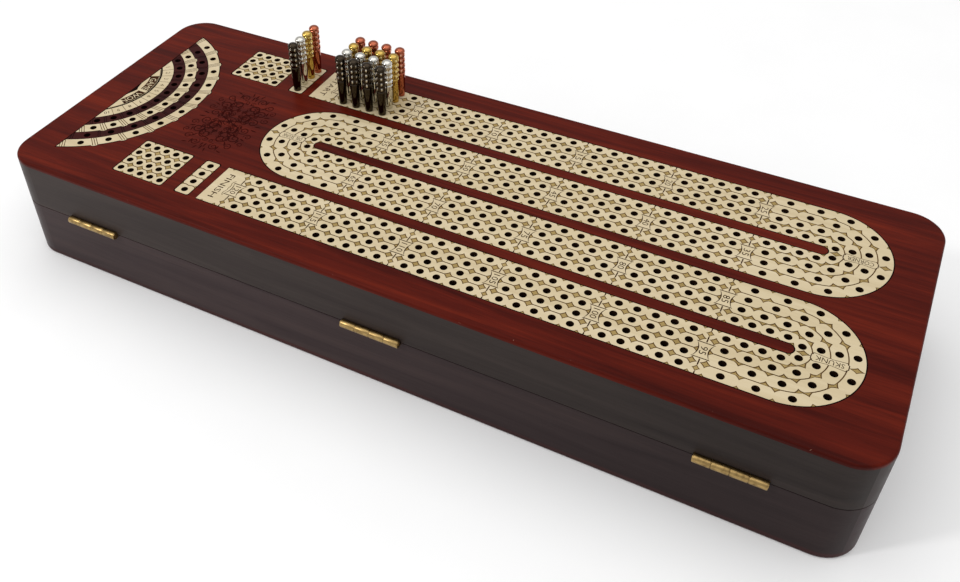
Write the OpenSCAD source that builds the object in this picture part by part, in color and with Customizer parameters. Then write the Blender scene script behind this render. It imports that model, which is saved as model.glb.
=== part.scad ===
// Cribbage board box: a hinged wooden box whose lid is a four-player playing board.
// The origin is at the centre of the underside. +Z is up, X runs along the box,
// the players read the board from the -Y side and the hinges are on the +Y side.

/* [Box] */
// Length of the box
box_length = 374.4; // [366:0.2:400]
// Depth of the box, from the opening side to the hinge side
box_depth = 138.5; // [135:0.5:150]
// Height of the tray with its bottom board
tray_height = 28.8; // [26:0.1:45]
// Height from the underside to the playing surface
box_height = 52.5; // [50:0.5:75]
// Radius of the four upright corners
corner_radius = 14; // [10:0.5:18]
// Thickness of the walls
wall = 9; // [8:0.5:11]
// Thickness of the bottom board
bottom_thickness = 3; // [2.5:0.5:5]
// Open line between tray and lid
parting_gap = 0.4; // [0.1:0.1:0.6]
// Thickness of the felt linings
felt_thickness = 1; // [0.5:0.1:1.5]
// Thickness of the two dividers in the tray
divider_thickness = 5; // [3:0.5:8]
// Distance of each divider's middle from the box's middle
divider_place = 70; // [60:1:80]

/* [Playing surface] */
// Thickness of the top sheet and of the inlays set into it
sheet_thickness = 2; // [1.5:0.5:3]
// Thickness of the core board that the sheet lies on
core_thickness = 10; // [9:0.5:11]
// Radius of the rounded outer edges
edge_radius = 1.2; // [0.5:0.1:1.4]
// Diameter of the peg holes
hole_diameter = 3; // [2.8:0.1:3.4]
// Depth of the peg holes from the playing surface
hole_depth = 10; // [9:0.5:10.5]

/* [Track] */
// Distance between the holes of one row
hole_pitch = 7; // [6.8:0.1:7.2]
// Distance between the rows of two players
row_pitch = 6; // [5.8:0.1:6.1]
// Distance between the middles of two lanes
lane_pitch = 28.9; // [28:0.1:29.5]
// Width of one lane
lane_width = 23.6; // [23:0.1:24.4]
// Width of the numbered strip between two groups of five holes
station_width = 5; // [4.5:0.1:5.5]
// Distance from the last station to the centre of a bend
bend_reach = 25.5; // [24.5:0.1:26.5]

/* [Score inlays] */
// Distance between the columns of a score field
field_pitch = 5.3; // [5:0.1:5.6]
// Place of the score fields' middle along the box
field_place = 123.6; // [122:0.1:125]
// Width of a score field
field_width = 26.2; // [25:0.1:28]
// Place of the score strips' middle along the box
strip_place = 99.6; // [99:0.1:100.5]
// Width of a score strip
strip_width = 7.2; // [6:0.1:8]
// Place of the games arcs' centre along the box
arc_place = 192.2; // [191:0.1:193]
// Radius of the outermost row of the games arcs
arc_radius = 55; // [54:0.1:56]
// Distance between the rows of the games arcs
arc_step = 5.6; // [5:0.1:6]
// Place of the straight cut that ends the games arcs
arc_cut = 170.7; // [170:0.1:172]

/* [Hinges] */
// Length of a hinge
hinge_length = 26; // [24:1:30]
// Distance of the outer hinges from the box's middle
hinge_spread = 141; // [130:1:150]
// Thickness of a hinge leaf
leaf_thickness = 0.9; // [0.7:0.1:1.2]
// Width of a hinge leaf inside the wall
leaf_width = 8; // [7:0.5:8]
// Outer radius of the hinge barrel
barrel_radius = 1.6; // [1.4:0.1:1.8]
// Radius of the hinge pin
pin_radius = 0.8; // [0.6:0.05:0.9]

/* [Pegs] */
// Height of a peg above the playing surface
peg_height = 25; // [24:0.5:26]
// Radius of the part of a peg that goes into the hole
peg_tip_radius = 1.4; // [1.3:0.05:1.45]
// Largest radius of a peg's head
peg_head_radius = 2.4; // [2.2:0.1:2.5]

/* [Hidden] */
$fn = 48;
hair = 0.05;                                   // running and seating clearance
colours = ["black", "silver", "gold", "copper"];
finishes = ["#3a3a38", "#d9dadb", "#d6b24c", "#b5603a"];
dark_wood = "#3d2a2b";
red_wood = "#6b2318";
maple = "#e6d6a5";
burnt_wood = "#3f1513";
felt_red = "#7a1420";
brass = "#a98642";

hinge_names = ["a", "b", "c"];
hinge_places = [-hinge_spread, 0, hinge_spread];
inlay_nodes = ["track_inlay", "score_field_front", "score_field_back", "score_strip_front",
    "score_strip_back", "games_arc_light_outer", "games_arc_dark_outer", "games_arc_light_inner",
    "games_arc_dark_inner", "games_number_band", "games_title_plate"];
peg_nodes = [for (c = colours, n = [1:5]) str("peg_", c, "_", n)];

lid_base = tray_height + parting_gap;
sheet_base = box_height - sheet_thickness;
core_base = sheet_base - core_thickness;
inner_length = box_length - 2 * wall;
inner_depth = box_depth - 2 * wall;
divider_height = tray_height - bottom_thickness - felt_thickness - 3;
lanes = [-1.5, -0.5, 0.5, 1.5] * lane_pitch;
row_offsets = [-1.5, -0.5, 0.5, 1.5] * row_pitch;
station_pitch = 5 * hole_pitch + station_width;
stations = [for (k = [2:-1:-3]) k * station_pitch];
bend_back = stations[1] + bend_reach;
bend_front = stations[5] - bend_reach;
bend_outer = lane_pitch / 2 + lane_width / 2;
bend_inner = lane_pitch / 2 - lane_width / 2;
track_end = stations[0] + 11.5;
arc_spread = [12.8, 12.3, 11.7, 11.3];          // degrees between the holes of each games arc
arc_ear = [3, 0.8];                            // width and reach of the tabs on the light arcs
arc_numbers = 29.9;
arc_title = 29.3;
hinge_axis_y = box_depth / 2 + 1.1;
hinge_axis_z = tray_height + parting_gap / 2;
leaf_back = box_depth / 2 - leaf_width;
leaf_reach = hinge_axis_y - barrel_radius - 0.15 - leaf_back;
knuckle = hinge_length / 4;
screw_places = [-8, 0, 8];
screw_y = box_depth / 2 - 4.3;
screw_head_radius = 1.5;
screw_head_depth = 0.8;
screw_radius = 0.7;
screw_length = 6;
peg_seat = 0.1;                                // gap between a peg's shoulder and the board
peg_foot_radius = 1.85;
peg_neck_radius = 2.2;
peg_core_radius = 1.9;
peg_ring_half = 1.2;                           // half the height of a ring on a peg's head
peg_ring_step = 2.7;
peg_dome_height = 1.7;
magnet_radius = 3;
magnet_thickness = 2.5;
magnet_places = [-100, 100];

// ---- Peg hole places -------------------------------------------------------------------------

function straight_holes() = [for (lane = [0:3], k = [0:4], j = [0:4], row = row_offsets)
    if (k > 0 || lane == 0 || lane == 3)
        [stations[k] - station_width / 2 - (j + 0.5) * hole_pitch, lanes[lane] + row]];

// Ten holes of row i share its path round a bend evenly; s is measured from the bend's crown.
function bend_pitch(i) = (2 * (bend_reach - station_width / 2) + PI * bend_radius(i)) / 10;
function bend_radius(i) = lane_pitch / 2 + row_offsets[i];
function bend_point(i, s) = let (r = bend_radius(i), half_arc = PI / 2 * r)
    abs(s) <= half_arc ? r * [cos(s / r * 180 / PI), sin(s / r * 180 / PI)]
                       : [half_arc - abs(s), sign(s) * r];
function bend_holes(x, y, side) = [for (i = [0:3], n = [-5:4])
    let (p = bend_point(i, (n + 0.5) * bend_pitch(i))) [x + side * p[0], y + p[1]]];

function track_holes() = concat(straight_holes(), bend_holes(bend_front, -lane_pitch, -1),
    bend_holes(bend_back, 0, 1), bend_holes(bend_front, lane_pitch, -1));
function field_holes(side) = [for (c = [-2:2], row = row_offsets)
    [field_place + c * field_pitch, side * lanes[3] + row]];
function strip_holes(side) = [for (row = row_offsets) [strip_place, side * lanes[3] + row]];
function arc_holes(ring) = [for (n = [-5:4])
    let (a = 180 + (n + 0.5) * arc_spread[ring], r = arc_radius - ring * arc_step)
    [arc_place + r * cos(a), r * sin(a)]];
function all_holes() = concat(track_holes(), field_holes(-1), field_holes(1), strip_holes(-1),
    strip_holes(1), arc_holes(0), arc_holes(1), arc_holes(2), arc_holes(3));

module holes(places) {
    for (p = places) translate(p) circle(d = hole_diameter, $fn = 24);
}

// ---- Plan outlines ---------------------------------------------------------------------------

module rounded_rectangle(size, r) {
    square([size[0] - 2 * r, size[1]], center = true);
    square([size[0], size[1] - 2 * r], center = true);
    for (x = [-1, 1], y = [-1, 1])
        translate([x * (size[0] / 2 - r), y * (size[1] / 2 - r)]) circle(r);
}

module bend_outline(x, y, side) {
    translate([x, y]) intersection() {
        difference() {
            circle(bend_outer, $fn = 96);
            circle(bend_inner);
        }
        translate([side * bend_outer, 0]) square(2 * bend_outer, center = true);
    }
}

module track_outline() {
    for (lane = [0:3]) {
        start = (lane == 0 || lane == 3) ? track_end : bend_back;
        translate([bend_front, lanes[lane] - lane_width / 2]) square([start - bend_front, lane_width]);
    }
    bend_outline(bend_front, -lane_pitch, -1);
    bend_outline(bend_back, 0, 1);
    bend_outline(bend_front, lane_pitch, -1);
}

module field_outline(side) {
    translate([field_place, side * lanes[3]]) rounded_rectangle([field_width, lane_width], 1);
}

module strip_outline(side) {
    translate([strip_place, side * lanes[3]]) rounded_rectangle([strip_width, lane_width], 1);
}

module arc_band(inner, outer) {
    intersection() {
        translate([arc_place, 0]) difference() {
            circle(outer, $fn = 96);
            circle(inner, $fn = 96);
        }
        translate([arc_cut - 2 * arc_radius, -arc_radius * 1.5])
            square([2 * arc_radius, 3 * arc_radius]);
    }
}

module arc_ears(ring) {
    outer = arc_radius - (ring - 0.5) * arc_step;
    for (n = [-4:4])
        translate([arc_place, 0]) rotate(180 + n * arc_spread[ring])
            translate([outer - 1, -arc_ear[0] / 2]) square([1 + arc_ear[1], arc_ear[0]]);
}

// Rings are counted inwards from the outermost row: rings 0 and 2 are light, 1 and 3 are dark.
module arc_outline(ring) {
    mid = arc_radius - ring * arc_step;
    if (ring % 2 == 0) {
        arc_band(mid - arc_step / 2, mid + arc_step / 2);
        arc_ears(ring);
    } else difference() {
        arc_band(mid - arc_step / 2, mid + arc_step / 2);
        if (ring == 1) arc_ears(2);
    }
}

module number_band_outline() {
    arc_band(arc_numbers, arc_radius - 3.5 * arc_step);
}

module title_plate_outline() {
    difference() {
        arc_band(1, arc_title);
        polygon([[arc_cut + 1, 9], [arc_cut - 1.9, 0.5], [arc_cut - 1, -1.2], [arc_cut + 1, -9]]);
    }
}

module all_inlay_outlines() {
    track_outline();
    for (side = [-1, 1]) {
        field_outline(side);
        strip_outline(side);
    }
    for (ring = [0:3]) arc_outline(ring);
    number_band_outline();
    title_plate_outline();
}

// ---- Boards ----------------------------------------------------------------------------------

// Cross-section of an edge that reaches out by reach and is rounded over at the top.
module rounded_edge(reach) {
    square([reach - edge_radius, edge_radius]);
    intersection() {
        translate([reach - edge_radius, 0]) circle(edge_radius);
        square([reach, edge_radius]);
    }
}

// A board of the box's outline whose upper outer edge is rounded over.
module rounded_board(thickness) {
    straight = [box_length - 2 * corner_radius, box_depth - 2 * corner_radius];
    linear_extrude(thickness - edge_radius)
        rounded_rectangle([box_length, box_depth], corner_radius);
    translate([0, 0, thickness - edge_radius]) {
        linear_extrude(edge_radius) square(straight, center = true);
        for (side = [0, 1]) rotate(90 * side) for (end = [0, 180]) rotate(end)
            translate([straight[side] / 2, 0, 0])
                translate([0, straight[1 - side] / 2, 0]) rotate([90, 0, 0])
                    linear_extrude(straight[1 - side]) rounded_edge(corner_radius);
        for (x = [-1, 1], y = [-1, 1])
            translate([x * straight[0] / 2, y * straight[1] / 2, 0])
                rotate_extrude() rounded_edge(corner_radius);
    }
}

module bottom_board() {
    color(red_wood) translate([0, 0, bottom_thickness]) mirror([0, 0, 1])
        rounded_board(bottom_thickness);
}

module top_sheet() {
    color(red_wood) translate([0, 0, sheet_base]) difference() {
        rounded_board(sheet_thickness);
        translate([0, 0, -1]) linear_extrude(sheet_thickness + 2) all_inlay_outlines();
    }
}

module core_board() {
    color(dark_wood) translate([0, 0, core_base]) difference() {
        linear_extrude(core_thickness) square([inner_length, inner_depth], center = true);
        translate([0, 0, box_height - hole_depth - core_base])
            linear_extrude(hole_depth) holes(all_holes());
    }
}

module inlay(tone) {
    color(tone) translate([0, 0, sheet_base]) linear_extrude(sheet_thickness) children();
}

module track_inlay() {
    inlay(maple) difference() {
        track_outline();
        holes(track_holes());
    }
}

module score_field(side) {
    inlay(maple) difference() {
        field_outline(side);
        holes(field_holes(side));
    }
}

module score_strip(side) {
    inlay(maple) difference() {
        strip_outline(side);
        holes(strip_holes(side));
    }
}

module games_arc(ring) {
    inlay(ring % 2 == 0 ? maple : burnt_wood) difference() {
        arc_outline(ring);
        holes(arc_holes(ring));
    }
}

module felt_sheet(base) {
    color(felt_red) translate([0, 0, base]) linear_extrude(felt_thickness)
        square([inner_length, inner_depth], center = true);
}

// ---- Walls -----------------------------------------------------------------------------------

// Plan of one of the four mitred walls: turn 0 is +X, 1 is +Y, 2 is -X, 3 is -Y.
module wall_outline(turn) {
    half = (turn % 2 == 0) ? [box_length / 2, box_depth / 2] : [box_depth / 2, box_length / 2];
    meet = min(half[0], half[1]);
    intersection() {
        difference() {
            rounded_rectangle([box_length, box_depth], corner_radius);
            square([inner_length, inner_depth], center = true);
        }
        rotate(90 * turn)
            polygon([half, [half[0], -half[1]], [half[0] - meet, meet - half[1]],
                     [half[0] - meet, half[1] - meet]]);
    }
}

module wall_board(turn, base, top) {
    translate([0, 0, base]) linear_extrude(top - base) wall_outline(turn);
}

module tray_wall(turn) {
    wall_board(turn, bottom_thickness, tray_height);
}

module lid_wall(turn) {
    wall_board(turn, lid_base, sheet_base);
}

// Mortises, barrel relief and screw holes that the hinges need, as seen from the tray.
module hinge_recesses() {
    for (x = hinge_places) {
        translate([x - hinge_length / 2 - 0.1, leaf_back - hair, tray_height - leaf_thickness])
            cube([hinge_length + 0.2, leaf_width + hair + 1, leaf_thickness + 1]);
        translate([x, hinge_axis_y, hinge_axis_z]) rotate([0, 90, 0])
            cylinder(r = barrel_radius + 0.2, h = hinge_length + 0.2, center = true);
        for (s = screw_places)
            translate([x + s, screw_y, tray_height - leaf_thickness - screw_length])
                cylinder(r = screw_radius + hair, h = screw_length + 1, $fn = 24);
    }
}

// Carries what belongs to the tray's rim over to the lid's rim.
module to_lid_rim() {
    translate([0, 0, 2 * hinge_axis_z]) mirror([0, 0, 1]) children();
}

module magnets(clearance) {
    for (x = magnet_places)
        translate([x, wall / 2 - box_depth / 2, tray_height - magnet_thickness - hair - clearance])
            cylinder(r = magnet_radius + clearance, h = magnet_thickness + 3 * clearance);
}

module tray_front_wall() {
    color(dark_wood) difference() {
        tray_wall(3);
        magnets(hair);
    }
}

module tray_back_wall() {
    color(dark_wood) difference() {
        tray_wall(1);
        hinge_recesses();
    }
}

module lid_front_wall() {
    color(dark_wood) difference() {
        lid_wall(3);
        to_lid_rim() magnets(hair);
    }
}

module lid_back_wall() {
    color(dark_wood) difference() {
        lid_wall(1);
        to_lid_rim() hinge_recesses();
    }
}

module divider(x) {
    color(dark_wood)
        translate([x - divider_thickness / 2, -inner_depth / 2, bottom_thickness + felt_thickness])
            cube([divider_thickness, inner_depth, divider_height]);
}

// ---- Hinges ----------------------------------------------------------------------------------

module barrel_piece(index) {
    translate([(index - 1.5) * knuckle, 0, 0]) rotate([0, 90, 0])
        cylinder(r = barrel_radius, h = knuckle - 2 * hair, center = true);
}

// A leaf with two of the four barrel pieces, first and third or second and fourth.
module hinge_leaf(x, first) {
    neck = barrel_radius + 1;
    color(brass) translate([x, 0, 0]) difference() {
        union() {
            translate([-hinge_length / 2, leaf_back, tray_height - leaf_thickness])
                cube([hinge_length, leaf_reach, leaf_thickness]);
            for (i = [first, first + 2]) {
                translate([0, hinge_axis_y, hinge_axis_z]) barrel_piece(i);
                translate([(i - 2) * knuckle + hair, hinge_axis_y - neck, tray_height - leaf_thickness])
                    cube([knuckle - 2 * hair, neck, leaf_thickness]);
            }
        }
        translate([0, hinge_axis_y, hinge_axis_z]) rotate([0, 90, 0])
            cylinder(r = pin_radius + hair, h = hinge_length + 2, center = true);
        for (s = screw_places) translate([s, screw_y, tray_height - hair]) screw_hole();
    }
}

module hinge_pin(x) {
    color(brass) translate([x, hinge_axis_y, hinge_axis_z]) rotate([0, 90, 0])
        cylinder(r = pin_radius, h = hinge_length + 0.2, center = true);
}

// Countersunk screw with its head's top at the origin, pointing down.
module screw() {
    translate([0, 0, -screw_head_depth])
        cylinder(r1 = screw_radius, r2 = screw_head_radius, h = screw_head_depth, $fn = 24);
    translate([0, 0, -screw_length]) cylinder(r = screw_radius, h = screw_length, $fn = 24);
}

// The hole that a screw needs, open upwards.
module screw_hole() {
    translate([0, 0, -screw_head_depth])
        cylinder(r1 = screw_radius + hair, r2 = screw_head_radius + hair, h = screw_head_depth, $fn = 24);
    cylinder(r = screw_head_radius + hair, h = 1, $fn = 24);
    translate([0, 0, -screw_length]) cylinder(r = screw_radius + hair, h = screw_length, $fn = 24);
}

module hinge_screws() {
    color(brass) for (x = hinge_places, s = screw_places)
        translate([x + s, screw_y, tray_height - hair]) screw();
}

// ---- Pegs ------------------------------------------------------------------------------------

// Half section of a peg; height 0 is the playing surface.
module peg_profile() {
    head_base = peg_height / 2;
    dome_base = peg_height - peg_dome_height;
    tip = 1 - hole_depth;
    polygon([[0, tip], [peg_tip_radius - 0.5, tip], [peg_tip_radius, tip + 0.6],
             [peg_tip_radius, peg_seat], [peg_foot_radius, peg_seat], [peg_neck_radius, head_base],
             [peg_core_radius, head_base], [peg_core_radius, dome_base], [0, dome_base]]);
    for (i = [0:3]) translate([0, head_base + peg_ring_step / 2 + i * peg_ring_step]) {
        translate([0, -peg_ring_half]) square([peg_head_radius - peg_ring_half, 2 * peg_ring_half]);
        translate([peg_head_radius - peg_ring_half, 0]) circle(peg_ring_half, $fn = 24);
    }
    translate([0, dome_base]) intersection() {
        scale([1, peg_dome_height / peg_head_radius]) circle(peg_head_radius);
        translate([0, -0.5]) square([2 * peg_head_radius, 2 * peg_head_radius]);
    }
}

module peg(colour, number) {
    place = number < 5
        ? [stations[0] - station_width / 2 - (number - 0.5) * hole_pitch, lanes[0]]
        : [strip_place, lanes[0]];
    color(finishes[colour])
        translate([place[0], place[1] + row_offsets[3 - colour], box_height])
            rotate_extrude($fn = 32) peg_profile();
}

// ---- Nodes -----------------------------------------------------------------------------------

tray_front_wall();
tray_back_wall();
color(dark_wood) tray_wall(2);  // tray_left_wall
color(dark_wood) tray_wall(0);  // tray_right_wall
bottom_board();
felt_sheet(bottom_thickness);  // tray_lining
divider(-divider_place);  // divider_left
divider(divider_place);  // divider_right
color("silver") magnets(0);  // tray_magnets
hinge_screws();  // tray_hinge_screws
lid_front_wall();
lid_back_wall();
color(dark_wood) lid_wall(2);  // lid_left_wall
color(dark_wood) lid_wall(0);  // lid_right_wall
core_board();
top_sheet();
felt_sheet(core_base - felt_thickness);  // lid_lining
color("silver") to_lid_rim() magnets(0);  // lid_magnets
to_lid_rim() hinge_screws();  // lid_hinge_screws
track_inlay();
score_field(-1);  // score_field_front
score_field(1);  // score_field_back
score_strip(-1);  // score_strip_front
score_strip(1);  // score_strip_back
games_arc(0);  // games_arc_light_outer
games_arc(1);  // games_arc_dark_outer
games_arc(2);  // games_arc_light_inner
games_arc(3);  // games_arc_dark_inner
inlay(maple) number_band_outline();  // games_number_band
inlay(maple) title_plate_outline();  // games_title_plate
for (h = [0:2]) {
    hinge_leaf(hinge_places[h], 0);
    to_lid_rim() hinge_leaf(hinge_places[h], 1);
    hinge_pin(hinge_places[h]);
}
for (c = [0:3], n = [1:5])
    peg(c, n);
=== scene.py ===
"""Looks of the cribbage board box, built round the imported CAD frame.

Lengths are in millimetres until a mesh is made; the lights and the camera are in metres. Angles are in
degrees. The origin is at the centre of the box's underside: X runs along the box, the hinges are at +Y.
"""

from math import acos, ceil, copysign, cos, degrees, exp, hypot, pi, radians, sin, sqrt

import bpy
from mathutils import Matrix, Vector
from mathutils.geometry import delaunay_2d_cdt


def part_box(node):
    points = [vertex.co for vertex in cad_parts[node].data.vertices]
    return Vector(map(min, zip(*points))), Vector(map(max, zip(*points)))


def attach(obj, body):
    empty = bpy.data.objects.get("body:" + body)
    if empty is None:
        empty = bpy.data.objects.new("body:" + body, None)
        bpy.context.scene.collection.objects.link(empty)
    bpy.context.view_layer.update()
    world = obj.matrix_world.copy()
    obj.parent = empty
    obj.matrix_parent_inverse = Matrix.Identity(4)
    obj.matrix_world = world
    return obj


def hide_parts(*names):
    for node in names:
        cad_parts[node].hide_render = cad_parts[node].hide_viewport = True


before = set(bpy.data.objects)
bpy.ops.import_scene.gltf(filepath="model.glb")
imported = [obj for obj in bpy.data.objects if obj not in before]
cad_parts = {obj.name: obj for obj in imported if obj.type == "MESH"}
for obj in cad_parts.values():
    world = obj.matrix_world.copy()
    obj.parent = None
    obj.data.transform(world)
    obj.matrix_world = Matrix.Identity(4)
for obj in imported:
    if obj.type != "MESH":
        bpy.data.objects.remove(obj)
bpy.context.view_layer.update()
MM = 0.001


def box_mm(node):
    low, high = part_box(node)
    return low / MM, high / MM


# ---- Layout of the playing surface, from the frame and the design's driving dimensions

SHEET_LOW, SHEET_HIGH = box_mm("top_sheet")
TRACK_HIGH = box_mm("track_inlay")[1]
TRAY_TOP = box_mm("tray_back_wall")[1].z
TOP = SHEET_HIGH.z
SHEET_BASE = SHEET_LOW.z
HALF_LENGTH = SHEET_HIGH.x
HALF_DEPTH = SHEET_HIGH.y
CORNER_RADIUS = 14
EDGE_RADIUS = 1.2

HOLE_RADIUS = 1.5
HOLE_PITCH = 7
ROW_PITCH = 6
LANE_PITCH = 28.9
HALF_LANE = TRACK_HIGH.y - 1.5 * LANE_PITCH
STATION_HALF = 2.5
BEND_REACH = 25.5
STATIONS = [40 * k for k in (2, 1, 0, -1, -2, -3)]
BEND_BACK = STATIONS[1] + BEND_REACH
BEND_FRONT = STATIONS[5] - BEND_REACH
TRACK_END = TRACK_HIGH.x
LANES = [(k - 1.5) * LANE_PITCH for k in range(4)]
ROWS = [(k - 1.5) * ROW_PITCH for k in range(4)]
ROW_LINES = [-ROW_PITCH, 0, ROW_PITCH]
BEND_RADIUS = LANE_PITCH / 2

FIELD_PITCH = 5.3
FIELD_PLACE = 123.6
FIELD_HALF = 13.1
STRIP_PLACE = 99.6
STRIP_HALF = 3.6

ARC_CENTRE = (192.2, 0)
ARC_CUT = 170.7
ARC_RADIUS = 55
ARC_STEP = 5.6
ARC_SPREAD = [12.8, 12.3, 11.7, 11.3]
NUMBER_INNER = 29.9
NUMBER_SPREAD = 9.7
TITLE_OUTER = 29.3

JOINT_GAP = 0.12
BURNT_BAND = 0.36


# ---- Plan geometry

def on_circle(radius, angle, centre):
    a = radians(angle)
    return (centre[0] + radius * cos(a), centre[1] + radius * sin(a))


def arc(radius, start, end, centre, step):
    """Points along an arc, both ends included, about step degrees apart."""
    count = max(2, ceil(abs(end - start) / step))
    return [on_circle(radius, start + (end - start) * i / count, centre) for i in range(count + 1)]


def circle(centre, radius):
    return [on_circle(radius, 15 * i, centre) for i in range(24)]


def rounded_rectangle(centre, half_x, half_y, radius, step=15.0):
    points = []
    for sx, sy, start in ((1, 1, 0), (-1, 1, 90), (-1, -1, 180), (1, -1, 270)):
        corner = (centre[0] + sx * (half_x - radius), centre[1] + sy * (half_y - radius))
        points += arc(radius, start, start + 90, corner, step)
    return points


def bezier(start, control, end, count=4):
    """Points of a quadratic curve, without its end."""
    points = []
    for i in range(count):
        t = i / count
        a, b, c = (1 - t) ** 2, 2 * t * (1 - t), t * t
        points.append(tuple(a * p + b * q + c * r for p, q, r in zip(start, control, end)))
    return points


def stroke(points, width):
    """Outline of a line drawn along points; width is one number, or one for each point."""
    widths = width if isinstance(width, list) else [width] * len(points)
    left, right = [], []
    for i, (x, y) in enumerate(points):
        x0, y0 = points[max(i - 1, 0)]
        x1, y1 = points[min(i + 1, len(points) - 1)]
        length = hypot(x1 - x0, y1 - y0)
        nx, ny = -(y1 - y0) / length * widths[i] / 2, (x1 - x0) / length * widths[i] / 2
        left.append((x + nx, y + ny))
        right.append((x - nx, y - ny))
    return left + right[::-1]


def turned(points, angle, centre, scale=(1, 1)):
    """Points scaled, turned and then moved to centre."""
    c, s = cos(radians(angle)), sin(radians(angle))
    moved = []
    for x, y in points:
        x, y = x * scale[0], y * scale[1]
        moved.append((centre[0] + c * x - s * y, centre[1] + s * x + c * y))
    return moved


def flat_place(centre, angle=0):
    """A map from (distance along a straight line, distance to its left) to the plan."""
    return lambda along, across: turned([(along, across)], angle, centre)[0]


def bend_place(centre, side, radius):
    """The same map for a line that runs round a bend and on along both straights, from its crown."""
    half_arc = pi / 2 * radius

    def place(along, across):
        r = radius + across
        if abs(along) <= half_arc:
            a = along / radius
            x, y = r * cos(a), r * sin(a)
        else:
            x, y = half_arc - abs(along), copysign(r, along)
        return (centre[0] + side * x, centre[1] + y)
    return place


# ---- Engraving: closed loops with a layer and a finish

HOLLOW = 0.34
OUTLINE, LINE, STAR, STAR_FILL, PLATE_EDGE, PLATE, DETAIL, LETTERS, HOLE = range(9)
DEPTHS = {"plain": 0.0, "star": 0.06, "line": 0.13, "ink": 0.15}
FINISHES = ["plain", "star", "line", "ink", "edge"]
LINE_WIDTH = 0.44


def leftwards(points):
    """The same loop, run so that its inside is on the left."""
    area = sum(a[0] * b[1] - b[0] * a[1] for a, b in zip(points, points[1:] + points[:1]))
    return points if area > 0 else points[::-1]


class Plan:
    """The loops that cut up one flat piece."""

    def __init__(self, outline):
        self.loops = [(OUTLINE, "plain", leftwards(points)) for points in outline]

    def add(self, layer, finish, points):
        self.loops.append((layer, finish, leftwards(points)))

    def line(self, points, width=LINE_WIDTH, layer=LINE, finish="line"):
        self.add(layer, finish, stroke(points, width))

    def holes(self, places):
        for place in places:
            self.add(HOLE, "hole", circle(place, HOLE_RADIUS))

    def pointed(self, place, along, tips, inner):
        """A shape with hollow sides from tip to tip, round a scorched middle of inner times its size."""
        for size, layer, finish in ((1, STAR, "line"), (inner, STAR_FILL, "star")):
            corners = [(x * size, y * size) for x, y in tips]
            points = []
            for start, end in zip(corners, corners[1:]):
                control = (HOLLOW * (start[0] + end[0]), HOLLOW * (start[1] + end[1]))
                points += bezier(start, control, end)
            if corners[-1] != corners[0]:
                points.append(corners[-1])
            self.add(layer, finish, [place(along + x, y) for x, y in points])

    def spike(self, place, along, side, half, height):
        """Half a star that stands on a line, to one side of it."""
        self.pointed(place, along, [(-half, 0), (0, height * side), (half, 0)], 0.64)

    def star(self, place, along, half=2.1, height=1.95):
        tips = [(half, 0), (0, height), (-half, 0), (0, -height), (half, 0)]
        self.pointed(place, along, tips, 0.68)

    def letters(self, text, centre, height, angle, length=None, weight=0.045):
        for loop in lettering(text, height, length, weight):
            self.add(LETTERS, "ink", turned(loop, angle, centre))


def edge_loops(faces):
    """The closed loops of corner numbers that run round a set of faces."""
    edges = {(a, b) for f in faces for a, b in zip(f, f[1:] + f[:1])}
    following = {}
    for a, b in sorted(edges):
        if (b, a) not in edges:
            following.setdefault(a, []).append(b)
    loops = []
    for start in sorted(following):
        while following[start]:
            loop = [start]
            here = following[start].pop()
            while here != start:
                loop.append(here)
                here = following[here].pop()
            loops.append(loop)
    return loops


def lettering(text, height, length, weight):
    """Loops of a word in the plain built-in letters, centred, with capitals of that height. The corners of
    each loop are numbered in turn, so only its closing edge joins two numbers that are far apart."""
    curve = bpy.data.curves.new("lettering", "FONT")
    curve.body = text
    curve.resolution_u = 2
    curve.offset = weight
    curve.fill_mode = "NONE"
    word = bpy.data.objects.new("lettering", curve)
    mesh = bpy.data.meshes.new_from_object(word)
    points = [(v.co.x, v.co.y) for v in mesh.vertices]
    closing = [sorted(e.vertices) for e in mesh.edges if abs(e.vertices[0] - e.vertices[1]) > 1]
    loops = [range(first, last + 1) for first, last in sorted(closing)]
    bpy.data.objects.remove(word)
    bpy.data.curves.remove(curve)
    bpy.data.meshes.remove(mesh)
    x0, x1 = min(p[0] for p in points), max(p[0] for p in points)
    y0, y1 = min(p[1] for p in points), max(p[1] for p in points)
    up = height / (y1 - y0)
    along = length / (x1 - x0) if length else up
    return [[((points[i][0] - (x0 + x1) / 2) * along, (points[i][1] - (y0 + y1) / 2) * up) for i in loop]
            for loop in loops]


def finish_of(loops):
    """What a spot looks like that these loops cover: None outside the piece or in a hole."""
    if not any(layer == OUTLINE for layer, _, _ in loops):
        return None
    inside_letter = sum(layer == LETTERS for layer, _, _ in loops) % 2
    top = max((entry for entry in loops if entry[0] != LETTERS or inside_letter), key=lambda entry: entry[0])
    return None if top[1] == "hole" else top[1]


def rim_rings():
    """(outset, height) of the rings down the rounded edge of the top sheet."""
    rings = [(EDGE_RADIUS * sin(a), TOP - EDGE_RADIUS * (1 - cos(a)))
             for a in (radians(15 * i) for i in range(1, 7))]
    return rings + [(EDGE_RADIUS, SHEET_BASE)]


def rim_point(point, outset):
    """A point of the sheet's outline, moved outwards."""
    straight = (HALF_LENGTH - CORNER_RADIUS, HALF_DEPTH - CORNER_RADIUS)
    core = [max(-s, min(s, p)) for s, p in zip(straight, point)]
    away = Vector((point[0] - core[0], point[1] - core[1]))
    away *= (away.length + outset) / away.length
    return (core[0] + away.x, core[1] + away.y)


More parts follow.
